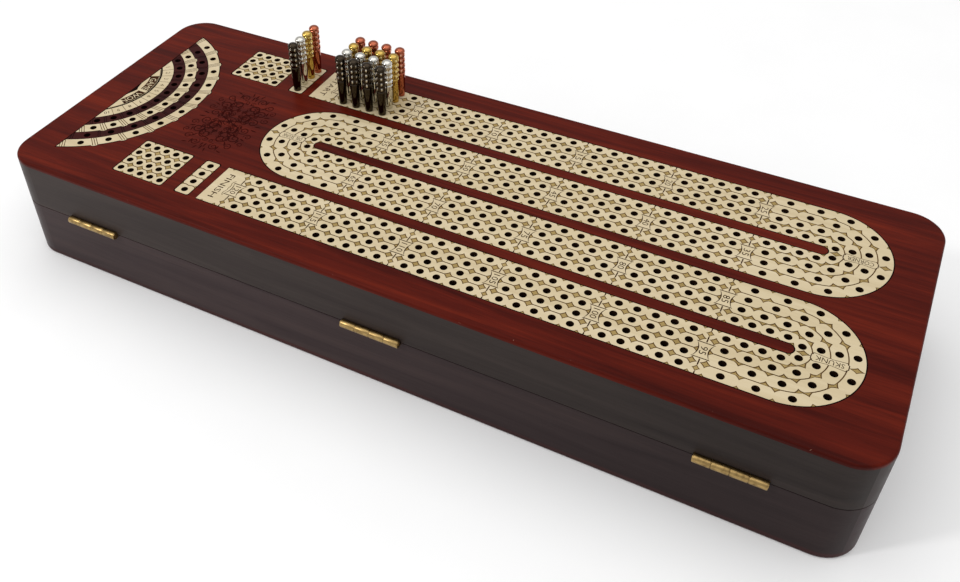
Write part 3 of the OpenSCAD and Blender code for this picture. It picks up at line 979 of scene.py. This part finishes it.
# x, y, angle, length, width and bow of its leaves.
LEAVES = [
    (1.2, 7.0, 62, 3.4, 1.0, 0.4), (7.4, 7.0, 28, 3.2, 1.0, 0.4), (1.8, 1.0, 18, 3.6, 1.1, -0.4),
    (7.4, 13.4, 66, 3.6, 0.9, -0.5), (12.4, 8.6, 12, 3.0, 0.8, 0.4), (3.2, 8.6, 120, 2.4, 0.7, 0.3),
    (12.8, 10.0, 96, 3.2, 0.8, 0.3), (7.2, 17.2, 84, 3.6, 0.8, 0.3), (12.6, 1.2, 4, 3.6, 0.8, 0.3),
    (8.0, 20.2, 10, 3.0, 0.7, 0.3), (2.2, 20.6, 66, 3.0, 0.7, 0.3), (0.9, 17.6, 84, 3.4, 0.7, 0.2),
    (6.9, 1.0, 40, 2.6, 0.8, 0.3), (7.4, 9.6, 150, 2.4, 0.7, 0.3), (2.6, 3.0, 45, 4.4, 1.3, 0.3),
    (3.0, 6.4, 20, 4.6, 1.1, 0.6), (6.0, 2.6, 74, 4.4, 1.1, -0.6),
]
# Radius, start, end, step and width of its plain curves.
CURVES = [
    (8.6, 20, 40, 5, 0.5), (8.6, 52, 86, 5, 0.5), (5.2, 10, 80, 6, 0.45), (14.6, 58, 88, 5, 0.35),
    (2.9, 4, 86, 8, 0.4),
]


def ornament_loops():
    """A symmetrical scroll and leaf motif; one quarter of it is drawn and mirrored."""
    quarter = [scroll((x, y), *shape) for x, y, *shape in SCROLLS]
    quarter += [leaf((x, y), *shape) for x, y, *shape in LEAVES]
    quarter += [stroke(arc(radius, start, end, (0, 0), step), width)
                for radius, start, end, step, width in CURVES]
    loops = []
    for sx in (1, -1):
        for sy in (1.05, -1.05):
            loops += [turned(points, 0, ORNAMENT_CENTRE, (sx, sy)) for points in quarter]
    petals = [leaf((0, 0), 45 * k + 22.5, 2.6, 0.75) for k in range(8)]
    petals += [leaf((0, 20.5 * s), 90 * s, 3.4, 0.9) for s in (1, -1)]
    return loops + [turned(points, 0, ORNAMENT_CENTRE) for points in petals]


def cut_outlines(inset):
    outlines = [track_outline(inset)]
    for side in (-1, 1):
        outlines += [field_outline(side, inset), strip_outline(side, inset)]
    return outlines


def scale_outline(inset):
    """The games scale's opening: all its bands together."""
    return arc_side(ARC_RADIUS + ARC_STEP / 2 - inset, ARC_CUT - inset, ARC_SPREAD[0])


def top_plan():
    inset = EDGE_RADIUS
    outline = rounded_rectangle((0, 0), HALF_LENGTH - inset, HALF_DEPTH - inset, CORNER_RADIUS - inset, 5)
    plan = Plan([outline])
    for points in cut_outlines(0):
        plan.add(HOLE, "hole", points)
    for points in cut_outlines(-BURNT_BAND):
        plan.add(LINE, "line", points)
    for ring in range(4):
        plan.add(HOLE, "hole", arc_outline(ring, 0))
    plan.add(HOLE, "hole", number_outline(0))
    plan.add(HOLE, "hole", title_outline(0))
    plan.add(LINE, "line", scale_outline(-BURNT_BAND))
    for points in ornament_loops():
        plan.add(DETAIL, "star", points)
    return plan


def mark_wear(piece):
    """A wear attribute that is 1 on the rounded edge of the sheet and 0 a little way in."""
    layer = piece.data.attributes.new("wear_and_highlight", "FLOAT", "POINT")
    for v, value in zip(piece.data.vertices, layer.data):
        reach = max(abs(v.co.x) / MM - HALF_LENGTH, abs(v.co.y) / MM - HALF_DEPTH)
        value.value = 1.0 if reach > -EDGE_RADIUS * 0.6 and v.co.z / MM > SHEET_BASE + 0.9 else 0.0


carved_piece("track_inlay", track_plan(), MAPLE_SET, "maple")
for side, place in ((-1, "front"), (1, "back")):
    carved_piece(f"score_field_{place}", field_plan(side), MAPLE_SET, "maple")
    carved_piece(f"score_strip_{place}", strip_plan(side), MAPLE_SET, "maple")
for ring, name in enumerate(("light_outer", "dark_outer", "light_inner", "dark_inner")):
    light = ring % 2 == 0
    carved_piece(f"games_arc_{name}", arc_plan(ring), MAPLE_SET if light else DARK_SET,
                 "maple" if light else "burnt_maple")
carved_piece("games_number_band", number_plan(), MAPLE_SET, "maple")
carved_piece("games_title_plate", title_plan(), MAPLE_SET, "maple")
mark_wear(carved_piece("top_sheet", top_plan(), TOP_SET, "top_wood", rim=rim_rings()))


# ---- Pegs

PEG_TURN = 60
BEADS = 6


def peg_rings():
    """(radius, height, place on a bead from -1 to 1 or None) of the rings from the tip to the crown; height 0
    is the playing surface."""
    rings = [(0.95, -9.0, None), (1.25, -8.85, None), (1.4, -8.4, None), (1.4, 0.1, None), (1.78, 0.1, None),
             (1.85, 0.3, None), (2.17, 12.1, None), (2.14, 12.35, None), (1.9, 12.5, None)]
    for i in range(4):
        middle = 13.85 + 2.7 * i
        for a in range(-84, 85, 21):
            up = sin(radians(a))
            rings.append((1.9, middle + 1.18 * up, up))
    rings += [(1.95, 23.2, None), (2.3, 23.25, None)]
    for a in range(0, 90, 12):
        rings.append((2.4 * cos(radians(a)) ** 0.8, 23.4 + 1.6 * sin(radians(a)), None))
    return rings


def peg_mesh(colour):
    """The turned peg that pegs of one colour share. Its vertex attribute marks a painted highlight on each
    bead.
    """
    vertices, wear_and_highlight = [], []
    for radius, height, up in peg_rings():
        for i in range(PEG_TURN):
            turn = 2 * pi * i / PEG_TURN
            r = radius
            if up is not None:
                aside = (i * BEADS / PEG_TURN + 0.5) % 1 - 0.5
                r += 0.52 * sqrt(max(0.0, 1 - up * up - (2.1 * aside) ** 2))
                # Painted highlight: a bright spot on the upper middle of each bead.
                wear_and_highlight.append(max(0.0, 1 - ((up - 0.3) / 0.5) ** 2 - (aside / 0.2) ** 2) ** 0.5)
            else:
                wear_and_highlight.append(0.0)
            vertices.append((r * cos(turn), r * sin(turn), height))
    last = len(vertices) - PEG_TURN
    faces = tube_faces(0, last, PEG_TURN)
    faces.append(list(range(PEG_TURN))[::-1])
    vertices.append((0, 0, 25.0))
    wear_and_highlight.append(0.0)
    for i in range(PEG_TURN):
        faces.append([last + i, last + (i + 1) % PEG_TURN, len(vertices) - 1])
    mesh = bpy.data.meshes.new(f"peg_{colour}")
    mesh.from_pydata([(x * MM, y * MM, z * MM) for x, y, z in vertices], [], faces)
    mesh.attributes.new("wear_and_highlight", "FLOAT", "POINT").data.foreach_set("value", wear_and_highlight)
    mesh.shade_smooth()
    mesh.materials.append(PEG_METALS[colour])
    return mesh


def make_pegs():
    for index, colour in enumerate(PEG_METALS):
        mesh = peg_mesh(colour)
        for number in range(1, 6):
            node = f"peg_{colour}_{number}"
            low, high = box_mm(node)
            piece = add_object(f"{node}_turned", mesh)
            turn = 17 * number + 41 * index
            piece.matrix_world = Matrix.Translation(
                Vector(((low.x + high.x) / 2, (low.y + high.y) / 2, TOP)) * MM) @ Matrix.Rotation(
                radians(turn), 4, "Z")
            settle(piece, node, f"peg_{colour}", node)


make_pegs()


# ---- Hinge knuckles

HINGE_LENGTH = 26
HINGE_AXIS = (HALF_DEPTH + 1.1, TRAY_TOP + 0.2)
KNUCKLE_TURN = 40


def knuckle_radius(turn):
    """Radius of a knuckle round the barrel, with the seam where the leaf was rolled up and a shallow groove."""
    seam = exp(-((turn - 250) / 5) ** 2) + 0.5 * exp(-((turn - 135) / 7) ** 2)
    return 1.72 - 0.12 * seam


def knuckles(name, body, middle, numbers):
    vertices, faces = [], []
    quarter = HINGE_LENGTH / 4
    for number in numbers:
        start = middle - HINGE_LENGTH / 2 + number * quarter
        end = [(0.16, 0.78), (0.16, 0.9), (0.24, 0.97), (0.4, 1.0)]
        ends = end + [(quarter / 2, 0.985)] + [(quarter - along, size) for along, size in end[::-1]]
        base = len(vertices)
        for along, size in ends:
            for i in range(KNUCKLE_TURN):
                turn = 360 * i / KNUCKLE_TURN
                r = knuckle_radius(turn) * size
                vertices.append((start + along, HINGE_AXIS[0] + r * cos(radians(turn)),
                                 HINGE_AXIS[1] + r * sin(radians(turn))))
        last = base + (len(ends) - 1) * KNUCKLE_TURN
        faces += [quad[::-1] for quad in tube_faces(base, last, KNUCKLE_TURN)]
        faces.append(list(range(base, base + KNUCKLE_TURN)))
        faces.append(list(range(last, last + KNUCKLE_TURN))[::-1])
    piece = make_mesh(name, vertices, faces, BRASS)
    piece.data.shade_smooth()
    return settle(piece, body, "brass")


for hinge in "abc":
    low, high = box_mm(f"hinge_{hinge}_pin")
    centre = (low.x + high.x) / 2
    for body, numbers in (("tray", (0, 2)), ("lid", (1, 3))):
        knuckles(f"hinge_{hinge}_{body}_knuckles", body, centre, numbers)


# ---- Felt linings

def lining(body):
    """A sheet of felt laid against a board: soft cut edges and a faint unevenness on its free side."""
    node = f"{body}_lining"
    up = body == "tray"
    low, high = box_mm(node)
    columns, rows = 120, 42
    half_x, half_y = (high.x - low.x) / 2 - 0.1, (high.y - low.y) / 2 - 0.1
    board, free = (low.z, high.z) if up else (high.z, low.z)
    thick = free - board
    vertices, faces = [], []
    for side in (0, 1):
        for j in range(rows + 1):
            for i in range(columns + 1):
                u, v = 2 * i / columns - 1, 2 * j / rows - 1
                u, v = sin(u * pi / 2), sin(v * pi / 2)
                edge = min(half_x * (1 - abs(u)), half_y * (1 - abs(v)))
                round_off = 1 - 0.5 * exp(-edge / 0.5)
                swell = 0.06 * sin(u * 9 + v * 4) * sin(v * 5 - u * 3) - 0.06
                z = board if side == 0 else board + thick * round_off + copysign(1, thick) * swell
                vertices.append((u * half_x, v * half_y, z))
    sheet = (rows + 1) * (columns + 1)
    quads = grid_faces(columns, rows)
    for quad in quads:
        top, bottom = [sheet + corner for corner in quad], quad[:1] + quad[:0:-1]
        faces += [top, bottom] if up else [top[::-1], bottom[::-1]]
    rim = edge_loops(quads)[0]
    for a, b in zip(rim, rim[1:] + rim[:1]):
        side = [a, b, sheet + b, sheet + a]
        faces.append(side if up else side[::-1])
    piece = make_mesh(f"{body}_felt", vertices, faces, RED_FELT)
    piece.data.shade_smooth()
    settle(piece, body, "felt", node)


lining("tray")
lining("lid")


# ---- Carried-over CAD nodes

def paint(material, *nodes):
    for name in nodes:
        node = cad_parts[name]
        node.data.materials.clear()
        node.data.materials.append(material)


paint(TRAY_WOOD_X, "tray_front_wall", "tray_back_wall")
paint(TRAY_WOOD_Y, "tray_left_wall", "tray_right_wall", "divider_left", "divider_right")
paint(SIDE_WOOD_X, "lid_front_wall", "lid_back_wall")
paint(SIDE_WOOD_Y, "lid_left_wall", "lid_right_wall")
paint(BOTTOM_WOOD, "bottom_board")
paint(CORE_WOOD, "core_board")
paint(MAGNET, "tray_magnets", "lid_magnets")
paint(SCREW_BRASS, "tray_hinge_screws", "lid_hinge_screws")
for hinge in "abc":
    paint(BRASS, f"hinge_{hinge}_tray_leaf", f"hinge_{hinge}_lid_leaf", f"hinge_{hinge}_pin")


# ---- Floor, light and camera

def make_floor():
    half = 3000
    count = 24
    step = 2 * half / count
    vertices = [(-half + step * i, -half + step * j, 0) for j in range(count + 1) for i in range(count + 1)]
    floor = make_mesh("floor", vertices, grid_faces(count, count))
    f = Finish("floor_white", specular=0.2)
    f.colour(f.ramp(f.noise((60, 60, 60)), [(0.3, (0.95, 0.95, 0.95, 1)), (0.7, (0.97, 0.97, 0.97, 1))]))
    f.roughness(f.noise((20, 20, 20)), 0.7, 0.8)
    floor.data.materials.append(f.material)


def soft_light(name, place, aim, size, power):
    lamp = bpy.data.lights.new(name, "AREA")
    lamp.shape = "RECTANGLE"
    lamp.size, lamp.size_y = size
    lamp.energy = power
    light = add_object(name, lamp)
    light.location = place
    light.rotation_euler = (Vector(aim) - Vector(place)).to_track_quat("-Z", "Y").to_euler()


CAMERA_PLACE = Vector((-0.150334, 0.299939, 0.313550))
CAMERA_AIM = Vector((-0.004906, 0.037133, 0.0525))
CAMERA_ROLL = -1.306


def make_camera():
    lens = bpy.data.cameras.new("camera")
    lens.lens = 37.892
    lens.shift_x = 0.0624
    lens.shift_y = -0.0514
    lens.sensor_width = 36
    lens.clip_start = 0.01
    camera = add_object("camera", lens)
    look = (CAMERA_AIM - CAMERA_PLACE).to_track_quat("-Z", "Y").to_matrix().to_4x4()
    camera.matrix_world = Matrix.Translation(CAMERA_PLACE) @ look @ Matrix.Rotation(
        radians(CAMERA_ROLL), 4, "Z")
    bpy.context.scene.camera = camera


def make_studio():
    world = bpy.data.worlds.new("studio")
    world.use_nodes = True
    background = world.node_tree.nodes["Background"]
    background.inputs["Color"].default_value = (1, 1, 1, 1)
    background.inputs["Strength"].default_value = 0.62
    bpy.context.scene.world = world
    soft_light("ceiling", (0, 0, 1.8), (0, 0, 0), (2.6, 2.6), 19)
    soft_light("key", (0.85, 0.9, 1.0), (0, 0, 0.03), (0.16, 0.16), 5)
    bpy.context.scene.view_settings.view_transform = "Standard"


make_floor()
make_camera()
make_studio()
